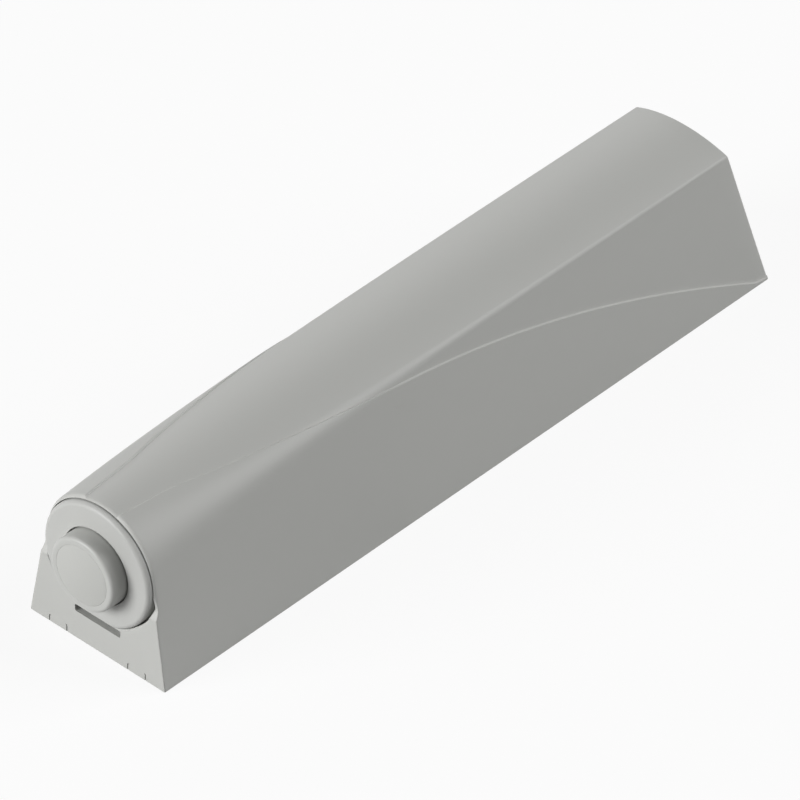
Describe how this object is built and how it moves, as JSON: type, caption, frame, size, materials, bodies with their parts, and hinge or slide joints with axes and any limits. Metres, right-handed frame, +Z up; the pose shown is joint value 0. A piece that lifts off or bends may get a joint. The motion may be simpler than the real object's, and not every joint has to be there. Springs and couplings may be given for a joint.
{
  "type": "push to open catch",
  "caption": "Push to open catch: a clip-on housing with a latching spring plunger whose round button pushes a handleless door open.",
  "frame": {"origin": "middle of the screw pattern on the mounting face, which is also the middle of the part's base outline with the button latched", "axes": "+X out of the front, the way the button pushes; +Z up from the mounting face; Y across, with the part the same on both sides"},
  "size_m": [0.0948, 0.0182, 0.0186],
  "materials": {
    "housing_plastic": "fine satin moulded finish, light warm grey",
    "plate_plastic": "satin moulded finish, light grey",
    "sleeve_plastic": "smooth low-friction plastic, mid grey",
    "collar_plastic": "fine satin moulded finish, light warm grey",
    "plunger_plastic": "smooth low-friction plastic, light warm grey",
    "pad_rubber": "soft matt elastomer, light warm grey",
    "stop_rubber": "soft matt elastomer, black",
    "spring_steel": "drawn spring wire, bright"
  },
  "bodies": {
    "housing": {"adapter_housing": "housing_plastic", "base_plate": "plate_plastic", "cartridge_sleeve": "sleeve_plastic", "front_collar": "collar_plastic", "end_plug": "sleeve_plastic", "end_stop_ring": "stop_rubber", "guide_rod": "spring_steel", "latch_keeper": "sleeve_plastic", "latch_wire": "spring_steel", "drive_spring": "spring_steel"},
    "button": {"plunger": "plunger_plastic", "buffer_pad": "pad_rubber"}
  },
  "joints": [
    {"name": "plunger_slide", "type": "slide", "parent": "housing", "child": "button", "axis": [1, 0, 0], "range_m": [-0.0018, 0.034], "deforming": ["drive_spring", "latch_wire"]}
  ]
}
